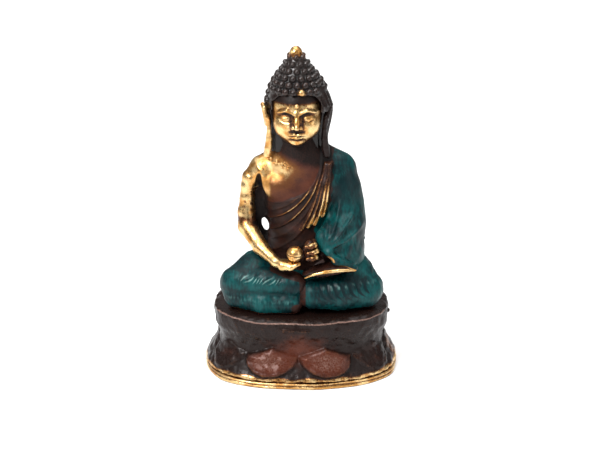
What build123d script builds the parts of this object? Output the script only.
from build123d import *

import os
from collections import namedtuple
from math import atan2, cos, degrees, radians, sin

# A small seated figure in cast brass on an oval lotus pedestal, in millimetres.
# +Z is up, the figure faces -Y, its own right hand is on -X, and the origin is the
# middle of the flat underside. Each casting meets its neighbours face to face: where
# two of them would share metal, the one that is fitted later is cut back.

Ring = namedtuple("Ring", "z x y rx ry")  # a horizontal oval: height, centre, half-sizes
Slice = namedtuple("Slice", "x y z ry rz")  # an upright section across X: centre, half-sizes
Station = namedtuple("Station", "point along r")  # a round limb section: centre, direction, radius
Egg = namedtuple("Egg", "centre half")  # an ellipsoid

# ---------------------------------------------------------------- driving dimensions
TOTAL_HEIGHT = 75.0
BASE_WIDTH, BASE_DEPTH = 44.5, 35.0
RIM_THICK, RIM_BEVEL = 1.4, 0.4  # ground foot rim under the pedestal
RIM_OPENING = (18.4, 12.6)  # half-sizes of the open middle of the rim
CAST_WALL = 1.6  # wall of the hollow pedestal
SEAT_Z, DECK = 15.5, 2.2  # where the figure sits, and the thickness of that deck
CAVITY_TOP = SEAT_Z - DECK
CAVITY_ROOF = (0, 0, 16.6, 10.2)  # centre and half-sizes of the cavity under the deck
LOWER_PETALS, LOWER_PETAL_HALF = 10, (5.9, 2.0, 3.4)  # count, and half width, depth, height
UPPER_TURNS, UPPER_PETAL_HALF = (-120, -90, -60, 60, 90, 120), (3.4, 1.6, 2.6)
LOWER_RING = Ring(4.9, 0, 0, 20.0, 14.2)  # where the petals are centred
UPPER_RING = Ring(12.0, 0, 0, 18.9, 12.2)

STUD_R, STUD_BOTTOM, STUD_TOP = 2.0, 8.3, 22.0
STUD_HOLE_R, STUD_TIP = 2.15, 0.5
WASHER_R, WASHER_THICK = 4.5, 0.8
NUT_FLATS, NUT_HEIGHT = 7.0, 3.2

HEAD_X = -1.0  # the head sits a little towards the figure's right
NECK_Z, NECK_Y, NECK_R, NECK_LENGTH = 51.0, 0.6, 3.6, 5.0
SPIGOT_R, SPIGOT_DEPTH = 2.2, 4.0  # the head's plug in the trunk
ARM_SPIGOT_R, ARM_SPIGOT_REACH = 1.4, 7.0  # the arm's plug in the trunk
ARM_SPIGOT_START = (-11.8, 1.2, 44.2)
PEG_R, PEG_REACH = 0.5, 2.8  # the pearl's peg in the palm, from the pearl's middle
HAIRLINE_Z, HAIRLINE_Y = 65.4, -3.6
FACE_CUTTER = (20.0, 12.0, 16.0)  # clears the face below the hairline
ROBE_THICK, SASH_REACH = 0.9, 12.0

# The pedestal's outside, from the rim up to the seat.
PEDESTAL = [
    Ring(RIM_THICK, 0, 0, 21.0, 15.3),
    Ring(4.6, 0, 0, 20.5, 14.6),
    Ring(8.4, 0, 0, 18.6, 12.9),
    Ring(11.6, 0, 0, 19.2, 12.6),
    Ring(13.8, 0, 0, 18.8, 12.2),
    Ring(SEAT_Z, 0, 0, 17.6, 11.4),
]

# The lap from the right knee to the left knee. Its underside is cut flat at the seat.
LAP = [
    Slice(-18.2, -5.0, 20.4, 2.0, 2.2),
    Slice(-15.0, -5.0, 19.8, 5.6, 4.6),
    Slice(-8.0, -2.4, 20.4, 9.6, 5.4),
    Slice(0.0, -1.0, 20.2, 10.6, 5.6),
    Slice(8.0, -2.4, 20.2, 9.6, 5.2),
    Slice(15.0, -5.0, 19.4, 5.6, 4.4),
    Slice(18.2, -5.0, 19.4, 2.0, 2.2),
]
THIGHS = [
    Egg((-9.6, -3.0, 22.9), (8.9, 7.0, 4.0)),
    Egg((9.8, -3.2, 21.6), (8.7, 8.0, 4.6)),
]
RIGHT_SHIN = Egg((-8.6, -7.0, 18.6), (8.6, 5.0, 3.0))

# The trunk from the hips to the root of the neck.
TRUNK = [
    Ring(20.0, 0, 2.6, 9.0, 6.4),
    Ring(28.0, 0, 2.0, 8.0, 5.8),
    Ring(36.0, 0, 1.6, 8.8, 5.8),
    Ring(43.0, 0, 1.4, 10.6, 6.2),
    Ring(46.6, -0.2, 1.4, 10.0, 5.8),
    Ring(49.2, -0.6, 1.2, 6.6, 4.8),
    Ring(NECK_Z, HEAD_X, 1.0, 4.2, 4.0),
]

# The bare right arm, from the shoulder round the elbow to the wrist.
RIGHT_ARM = [
    Station((-9.2, 1.2, 45.4), (-0.5, 0, -1), 4.0),
    Station((-11.0, 1.0, 41.0), (-0.2, 0, -1), 3.1),
    Station((-11.9, 0.2, 35.4), (0, -0.25, -1), 2.4),
    Station((-11.3, -2.0, 32.2), (0.6, -0.9, -0.8), 2.3),
    Station((-7.8, -6.2, 30.0), (0.9, -0.9, -0.4), 2.1),
    Station((-4.8, -9.0, 28.4), (1, -0.8, -0.3), 1.8),
]

# The sleeve over the left arm is wider and hangs to the lap.
LEFT_SLEEVE = [
    Station((8.2, 1.6, 46.0), (0.5, 0, -1), 4.3),
    Station((10.6, 1.2, 41.0), (0.15, 0, -1), 3.6),
    Station((11.2, 0.4, 34.5), (0, -0.25, -1), 3.3),
    Station((10.6, -2.6, 30.8), (-0.5, -0.9, -0.7), 3.2),
    Station((8.2, -6.4, 29.0), (-0.9, -0.9, -0.2), 2.9),
]

# Hair over the skull, drawn up to a point.
HAIR = [
    Ring(54.0, HEAD_X, 1.6, 5.2, 5.4),
    Ring(60.0, HEAD_X, 0.6, 7.1, 7.2),
    Ring(64.5, -1.1, 0.4, 7.0, 7.0),
    Ring(67.6, -1.4, 0.2, 5.5, 5.6),
    Ring(70.0, -1.6, 0.0, 3.7, 3.8),
    Ring(72.2, -1.7, 0.0, 2.1, 2.1),
    Ring(73.6, -1.7, 0.0, 1.1, 1.1),
]

SKULL = Egg((HEAD_X, 0.2, 61.2), (6.1, 6.8, 6.8))
JAW = Egg((HEAD_X, -1.8, 57.6), (4.9, 4.9, 4.2))
NOSE = Egg((HEAD_X, -6.6, 59.2), (0.8, 1.2, 1.8))
FOREHEAD_DOT = Egg((HEAD_X, -6.4, 63.0), (0.45, 0.5, 0.45))
RIGHT_EAR = Egg((HEAD_X - 6.7, -0.6, 56.0), (1.1, 1.7, 6.2))
LEFT_EAR = Egg((HEAD_X + 6.7, -0.6, 56.0), (1.1, 1.7, 6.2))
FINIAL = Egg((-1.7, 0.0, TOTAL_HEIGHT - 1.5), (1.3, 1.3, 1.5))
RIGHT_PALM = Egg((-2.6, -10.4, 27.2), (3.1, 2.6, 1.4))
LEFT_FINGERS = Egg((2.4, -9.4, 29.2), (2.2, 2.0, 2.8))
RIGHT_FOOT = Egg((6.0, -9.6, 25.9), (5.8, 2.9, 1.7))
PEARL = Egg((-1.9, -10.8, 29.9), (1.75, 1.75, 1.75))

# The folded end of the robe on the left of the chest, as (x, z) seen from the front:
# down the inner edge, along the stepped hem, and up the outer edge to the shoulder.
SASH_OUTLINE = [
    (3.8, 48.6),
    (2.2, 43.4),
    (0.2, 37.8),
    (1.0, 36.8),
    (2.2, 37.2),
    (3.0, 38.4),
    (4.2, 37.8),
    (5.0, 39.4),
    (6.2, 39.0),
    (7.0, 40.6),
    (7.8, 49.0),
]


# ---------------------------------------------------------------- shared forms
def oval_tower(rings):
    """One solid through a stack of horizontal ovals."""
    with BuildPart() as tower:
        for ring in rings:
            with BuildSketch(Plane.XY.offset(ring.z)):
                with Locations((ring.x, ring.y)):
                    Ellipse(ring.rx, ring.ry)
        loft()
    return tower.part


def grown(rings, by):
    """The same stack of ovals with every half-size larger, or smaller, by one amount."""
    return [ring._replace(rx=ring.rx + by, ry=ring.ry + by) for ring in rings]


def cushion_row(slices):
    """One solid through a row of upright sections with well rounded corners."""
    with BuildPart() as row:
        for cut in slices:
            with BuildSketch(Plane(origin=(cut.x, 0, 0), x_dir=(0, 1, 0), z_dir=(1, 0, 0))):
                with Locations((cut.y, cut.z)):
                    RectangleRounded(2 * cut.ry, 2 * cut.rz, radius=0.8 * min(cut.ry, cut.rz))
        loft()
    return row.part


def limb(stations):
    """A round limb through its stations, with a slightly larger ball at each end."""
    sideways = Vector(0.3, 1, 0)
    with BuildPart() as made:
        for station in stations:
            x_dir = sideways.cross(Vector(station.along))
            with BuildSketch(Plane(origin=station.point, x_dir=x_dir, z_dir=station.along)):
                Circle(station.r)
        loft()
        for station in (stations[0], stations[-1]):
            with Locations(station.point):
                Sphere(1.03 * station.r)
    return made.part


def ellipsoid(egg):
    """An ellipsoid from its centre and half-sizes."""
    ball = Sphere(1, mode=Mode.PRIVATE)
    return Location(egg.centre) * scale(ball, by=egg.half, mode=Mode.PRIVATE)


def petals_at(ring, turns, half):
    """Swollen petals round an oval, each at an angle counted from the middle of the front."""
    petals = []
    for turn in map(radians, turns):
        outward = degrees(atan2(sin(turn) / ring.rx, cos(turn) / ring.ry))
        place = Location((ring.rx * sin(turn), -ring.ry * cos(turn), ring.z), (0, 0, outward))
        petals.append(place * ellipsoid(Egg((0, 0, 0), half)))
    return petals


# ---------------------------------------------------------------- pedestal
with BuildPart() as foot_rim:
    with BuildSketch():
        Ellipse(BASE_WIDTH / 2, BASE_DEPTH / 2)
        Ellipse(*RIM_OPENING, mode=Mode.SUBTRACT)
    extrude(amount=RIM_THICK)
    top_edges = foot_rim.edges().group_by(Axis.Z)[-1].sort_by(SortBy.LENGTH)
    chamfer(top_edges[-1], length=RIM_BEVEL)
foot_rim.part.label = "foot_rim"

cavity_rings = grown([ring for ring in PEDESTAL if ring.z < CAVITY_TOP], -CAST_WALL)
cavity_rings.append(Ring(CAVITY_TOP, *CAVITY_ROOF))

lower_turns = [(index + 0.5) * 360 / LOWER_PETALS for index in range(LOWER_PETALS)]

with BuildPart() as lotus_pedestal:
    add(oval_tower(PEDESTAL))
    add(petals_at(LOWER_RING, lower_turns, LOWER_PETAL_HALF))
    add(petals_at(UPPER_RING, UPPER_TURNS, UPPER_PETAL_HALF))
    add(oval_tower(cavity_rings), mode=Mode.SUBTRACT)
    with Locations((0, 0, SEAT_Z)):
        Hole(STUD_HOLE_R)
lotus_pedestal.part.label = "lotus_pedestal"

# ---------------------------------------------------------------- fixing under the deck
with BuildPart() as figure_stud:
    with BuildSketch(Plane.XY.offset(STUD_BOTTOM)):
        Circle(STUD_R)
    extrude(amount=STUD_TOP - STUD_BOTTOM)
    chamfer(figure_stud.edges().group_by(Axis.Z)[0], length=STUD_TIP)
figure_stud.part.label = "figure_stud"

with BuildPart() as stud_washer:
    with BuildSketch(Plane.XY.offset(CAVITY_TOP - WASHER_THICK)):
        Circle(WASHER_R)
        Circle(STUD_HOLE_R, mode=Mode.SUBTRACT)
    extrude(amount=WASHER_THICK)
stud_washer.part.label = "stud_washer"

with BuildPart() as stud_nut:
    with BuildSketch(Plane.XY.offset(CAVITY_TOP - WASHER_THICK - NUT_HEIGHT)):
        RegularPolygon(NUT_FLATS / 2, 6, major_radius=False)
        Circle(STUD_R, mode=Mode.SUBTRACT)
    extrude(amount=NUT_HEIGHT)
stud_nut.part.label = "stud_nut"

# ---------------------------------------------------------------- head
with BuildPart() as head:
    for egg in (SKULL, JAW, NOSE):
        add(ellipsoid(egg))
    with Locations((HEAD_X, NECK_Y, NECK_Z)):
        Cylinder(NECK_R, NECK_LENGTH, align=(Align.CENTER, Align.CENTER, Align.MIN))
        Cylinder(SPIGOT_R, SPIGOT_DEPTH, align=(Align.CENTER, Align.CENTER, Align.MAX))
head.part.label = "head"

with BuildPart() as finial:
    add(ellipsoid(FINIAL))
    split(bisect_by=Plane.XY.offset(HAIR[-1].z), keep=Keep.TOP)
finial.part.label = "finial"

with BuildPart() as hair_cap:
    add(oval_tower(HAIR))
    with Locations((HEAD_X, HAIRLINE_Y, HAIRLINE_Z)):
        Box(*FACE_CUTTER, align=(Align.CENTER, Align.MAX, Align.MAX), mode=Mode.SUBTRACT)
    add(head.part, mode=Mode.SUBTRACT)
hair_cap.part.label = "hair_cap"

with BuildPart() as urna:
    add(ellipsoid(FOREHEAD_DOT))
    add(head.part, mode=Mode.SUBTRACT)
urna.part.label = "urna"

# ---------------------------------------------------------------- legs
with BuildPart() as crossed_legs:
    add(cushion_row(LAP))
    for egg in (*THIGHS, RIGHT_SHIN):
        add(ellipsoid(egg))
    split(bisect_by=Plane.XY.offset(SEAT_Z), keep=Keep.TOP)
    add(figure_stud.part, mode=Mode.SUBTRACT)
crossed_legs.part.label = "crossed_legs"

# ---------------------------------------------------------------- arms, hands and trunk
trunk = oval_tower(TRUNK)

with BuildPart() as jewel:
    add(ellipsoid(PEARL))
    with Locations(PEARL.centre):
        Cylinder(PEG_R, PEG_REACH, align=(Align.CENTER, Align.CENTER, Align.MAX))
jewel.part.label = "jewel"

with BuildPart() as right_arm:
    add(limb(RIGHT_ARM))
    add(ellipsoid(RIGHT_PALM))
    add(trunk, mode=Mode.SUBTRACT)
    with Locations(Location(ARM_SPIGOT_START, (0, 90, 0))):
        Cylinder(ARM_SPIGOT_R, ARM_SPIGOT_REACH, align=(Align.CENTER, Align.CENTER, Align.MIN))
    for neighbour in (crossed_legs, jewel):
        add(neighbour.part, mode=Mode.SUBTRACT)
right_arm.part.label = "right_arm"

with BuildPart() as torso:
    add(trunk)
    for neighbour in (head, crossed_legs, figure_stud, right_arm):
        add(neighbour.part, mode=Mode.SUBTRACT)
torso.part.label = "torso"

with BuildPart() as left_arm:
    add(limb(LEFT_SLEEVE))
    add(trunk, mode=Mode.SUBTRACT)
    add(crossed_legs.part, mode=Mode.SUBTRACT)
left_arm.part.label = "left_arm"

with BuildPart() as left_hand:
    add(ellipsoid(LEFT_FINGERS))
    for neighbour in (left_arm, crossed_legs, right_arm, jewel):
        add(neighbour.part, mode=Mode.SUBTRACT)
left_hand.part.label = "left_hand"

with BuildPart() as right_foot:
    add(ellipsoid(RIGHT_FOOT))
    for neighbour in (left_arm, crossed_legs, right_arm, left_hand):
        add(neighbour.part, mode=Mode.SUBTRACT)
right_foot.part.label = "right_foot"

# ---------------------------------------------------------------- ears and robe
ears = []
for name, egg in (("right_ear", RIGHT_EAR), ("left_ear", LEFT_EAR)):
    with BuildPart() as ear:
        add(ellipsoid(egg))
        for neighbour in (head, hair_cap, torso):
            add(neighbour.part, mode=Mode.SUBTRACT)
    ear.part.label = name
    ears.append(ear)

with BuildPart() as shoulder_sash:
    with BuildSketch(Plane.XZ) as sash_outline:
        Polygon(*SASH_OUTLINE, align=None)
    extrude(amount=SASH_REACH)
    add(oval_tower(grown(TRUNK, ROBE_THICK)), mode=Mode.INTERSECT)
    add(trunk, mode=Mode.SUBTRACT)
    for neighbour in (left_arm, head, hair_cap, *ears):
        add(neighbour.part, mode=Mode.SUBTRACT)
shoulder_sash.part.label = "shoulder_sash"

# ---------------------------------------------------------------- one file for each piece
pieces = [foot_rim, lotus_pedestal, figure_stud, stud_washer, stud_nut, crossed_legs]
pieces += [torso, head, hair_cap, finial, urna, *ears, shoulder_sash]
pieces += [right_arm, jewel, left_arm, left_hand, right_foot]

os.makedirs("parts", exist_ok=True)
for piece in pieces:
    export_step(piece.part, f"parts/{piece.part.label}.step")
